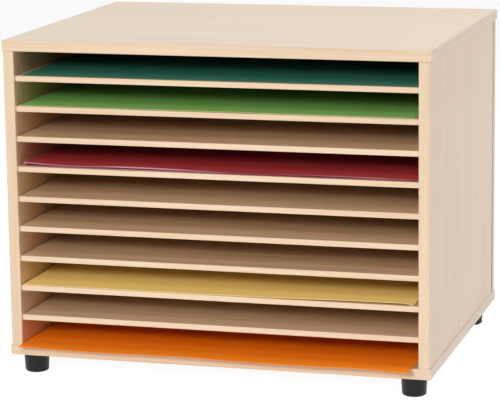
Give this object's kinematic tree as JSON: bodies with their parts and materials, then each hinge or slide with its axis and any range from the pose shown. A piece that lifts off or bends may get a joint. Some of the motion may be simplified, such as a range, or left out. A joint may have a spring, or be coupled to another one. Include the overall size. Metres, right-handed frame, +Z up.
{
  "type": "paper storage cabinet",
  "caption": "Low free-standing cabinet with open full-width compartments between thin fixed shelves, for large flat sheets of card, on round feet.",
  "frame": {"origin": "on the floor, in the middle of the whole footprint, the front overhang of the orange sheet included", "axes": "+X to the right as seen from the open front, +Y towards the back, +Z up"},
  "size_m": [0.754, 0.636, 0.593],
  "materials": {
    "melamine_board": "satin",
    "melamine_shelf": "satin",
    "edge_band": "satin",
    "foot_plastic": "satin",
    "screw_steel": "satin",
    "tongue_plywood": "matte",
    "card_dark_green": "matte",
    "card_green": "matte",
    "card_red": "matte",
    "card_yellow": "matte",
    "card_orange": "matte"
  },
  "bodies": {
    "cabinet": {"top_panel": "melamine_board", "bottom_panel": "melamine_board", "side_panel_left": "melamine_board", "side_panel_right": "melamine_board", "back_panel": "melamine_board", "shelf_1": "melamine_shelf", "shelf_2": "melamine_shelf", "shelf_3": "melamine_shelf", "shelf_4": "melamine_shelf", "shelf_5": "melamine_shelf", "shelf_6": "melamine_shelf", "shelf_7": "melamine_shelf", "shelf_8": "melamine_shelf", "shelf_9": "melamine_shelf", "shelf_band_1": "edge_band", "shelf_band_2": "edge_band", "shelf_band_3": "edge_band", "shelf_band_4": "edge_band", "shelf_band_5": "edge_band", "shelf_band_6": "edge_band", "shelf_band_7": "edge_band", "shelf_band_8": "edge_band", "shelf_band_9": "edge_band", "top_band_front": "edge_band", "top_band_back": "edge_band", "top_band_left": "edge_band", "top_band_right": "edge_band", "bottom_band_front": "edge_band", "bottom_band_back": "edge_band", "bottom_band_left": "edge_band", "bottom_band_right": "edge_band", "side_band_front_left": "edge_band", "side_band_front_right": "edge_band", "side_band_back_left": "edge_band", "side_band_back_right": "edge_band", "back_band_left": "edge_band", "back_band_right": "edge_band", "feet": "foot_plastic", "foot_screws": "screw_steel", "tongue_top_left": "tongue_plywood", "tongue_top_right": "tongue_plywood", "tongue_bottom_left": "tongue_plywood", "tongue_bottom_right": "tongue_plywood", "tongue_back_left": "tongue_plywood", "tongue_back_right": "tongue_plywood"},
    "dark_green_sheets": {"paper_dark_green": "card_dark_green"},
    "green_sheets": {"paper_green": "card_green"},
    "red_sheets": {"paper_red": "card_red"},
    "yellow_sheets": {"paper_yellow": "card_yellow"},
    "orange_sheets": {"paper_orange": "card_orange"}
  },
  "joints": [
    {"name": "dark_green_sheets_slide", "type": "slide", "parent": "cabinet", "child": "dark_green_sheets", "axis": [0, -1, 0], "range_m": [-0.069, 0.24]},
    {"name": "green_sheets_slide", "type": "slide", "parent": "cabinet", "child": "green_sheets", "axis": [0, -1, 0], "range_m": [-0.069, 0.24]},
    {"name": "red_sheets_slide", "type": "slide", "parent": "cabinet", "child": "red_sheets", "axis": [0, -1, 0], "range_m": [-0.068, 0.24]},
    {"name": "yellow_sheets_slide", "type": "slide", "parent": "cabinet", "child": "yellow_sheets", "axis": [0, -1, 0], "range_m": [-0.071, 0.24]},
    {"name": "orange_sheets_slide", "type": "slide", "parent": "cabinet", "child": "orange_sheets", "axis": [0, -1, 0], "range_m": [-0.104, 0.2]}
  ]
}
